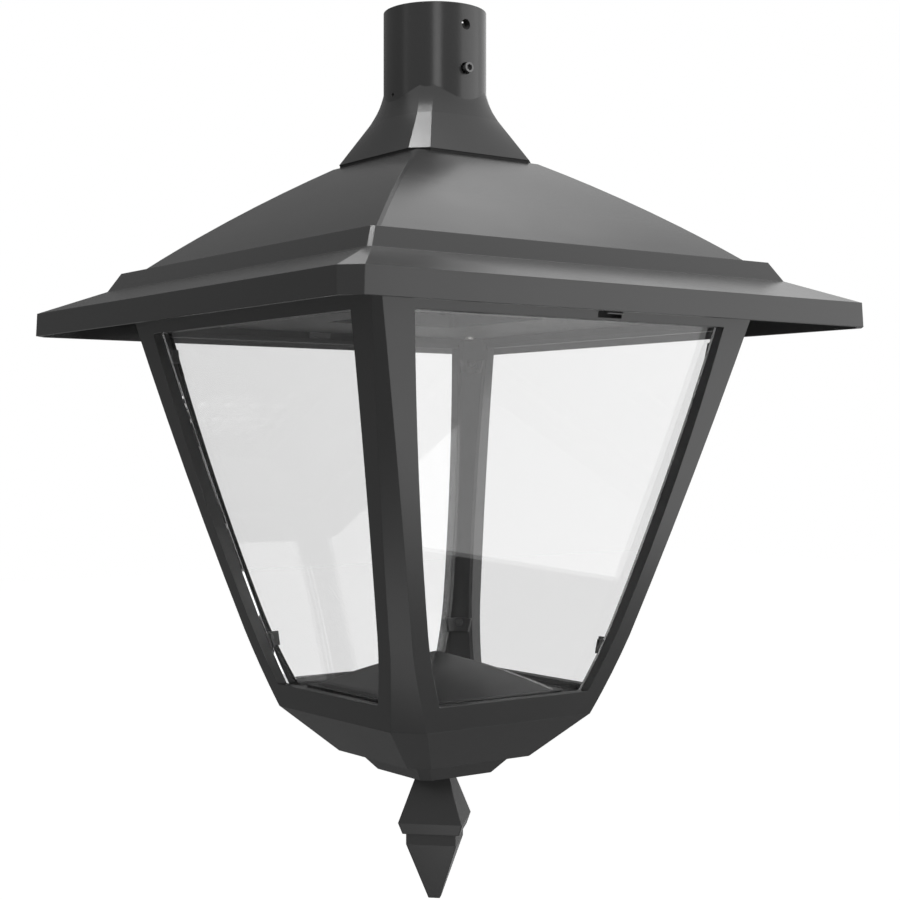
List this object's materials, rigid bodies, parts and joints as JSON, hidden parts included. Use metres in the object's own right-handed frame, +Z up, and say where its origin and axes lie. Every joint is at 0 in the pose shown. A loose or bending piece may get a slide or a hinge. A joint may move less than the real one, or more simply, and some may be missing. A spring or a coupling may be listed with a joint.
{
  "type": "outdoor pendant light",
  "caption": "Four-sided outdoor pendant lantern with a pipe socket, flared roof, clear panes in a tapering frame that hinges down, and a pointed finial.",
  "frame": {"origin": "centre of the pipe socket's top rim", "axes": "+Z up along the pipe; the lantern's flat sides face X and Y; the hinge is at +Y and the set screw faces -Y"},
  "size_m": [0.431, 0.431, 0.6307],
  "materials": {
    "cast_paint": "satin dark grey powder coat on cast aluminium",
    "tray_paint": "satin dark grey powder coat on folded sheet",
    "clear_glass": "clear, polished edges",
    "rubber": "matt black sponge rubber",
    "stainless_steel": "plain turned stainless steel",
    "bracket_steel": "zinc-plated sheet steel",
    "heat_sink_aluminium": "extruded, mill finish",
    "circuit_board": "black solder mask",
    "clear_acrylic": "clear moulded acrylic",
    "driver_case": "moulded white polycarbonate",
    "terminal_plastic": "moulded pale grey nylon",
    "black_nylon": "moulded black nylon"
  },
  "bodies": {
    "canopy_side": {"spigot_neck": "cast_paint", "neck_gasket": "rubber", "neck_bolts": "stainless_steel", "cable_gland": "black_nylon", "gland_nut": "black_nylon", "canopy": "cast_paint", "canopy_seal": "rubber", "gear_tray": "tray_paint", "gear_tray_screws": "stainless_steel", "led_board": "circuit_board", "led_lens": "clear_acrylic", "heat_sink": "heat_sink_aluminium", "heat_sink_spacers": "stainless_steel", "led_driver": "driver_case", "terminal_block": "terminal_plastic", "cord_grip": "black_nylon", "earth_screw": "stainless_steel", "hinge_bracket": "bracket_steel", "hinge_bracket_screws": "stainless_steel", "hinge_pin": "stainless_steel", "hinge_pin_clip": "stainless_steel", "latch_spring": "stainless_steel", "latch_screws": "stainless_steel"},
    "glazed_body": {"body_frame": "cast_paint", "pane_front": "clear_glass", "pane_right": "clear_glass", "pane_back": "clear_glass", "pane_left": "clear_glass", "pane_clips": "stainless_steel", "pane_clip_screws": "stainless_steel", "floor_plate": "cast_paint", "base_tray": "cast_paint", "base_tray_screws": "stainless_steel", "finial": "cast_paint", "finial_stud": "stainless_steel", "finial_nut": "stainless_steel"},
    "clamp_screw": {"set_screw": "stainless_steel"}
  },
  "joints": [
    {"name": "body_hinge", "type": "hinge", "parent": "canopy_side", "child": "glazed_body", "pos_m": [0, 0.165, -0.2187], "axis": [1, 0, 0], "range_deg": [0, 90], "deforming": ["latch_spring"]},
    {"name": "clamp_screw_travel", "type": "slide", "parent": "canopy_side", "child": "clamp_screw", "axis": [0, 1, 0], "range_m": [-0.005, 0.0015]}
  ]
}
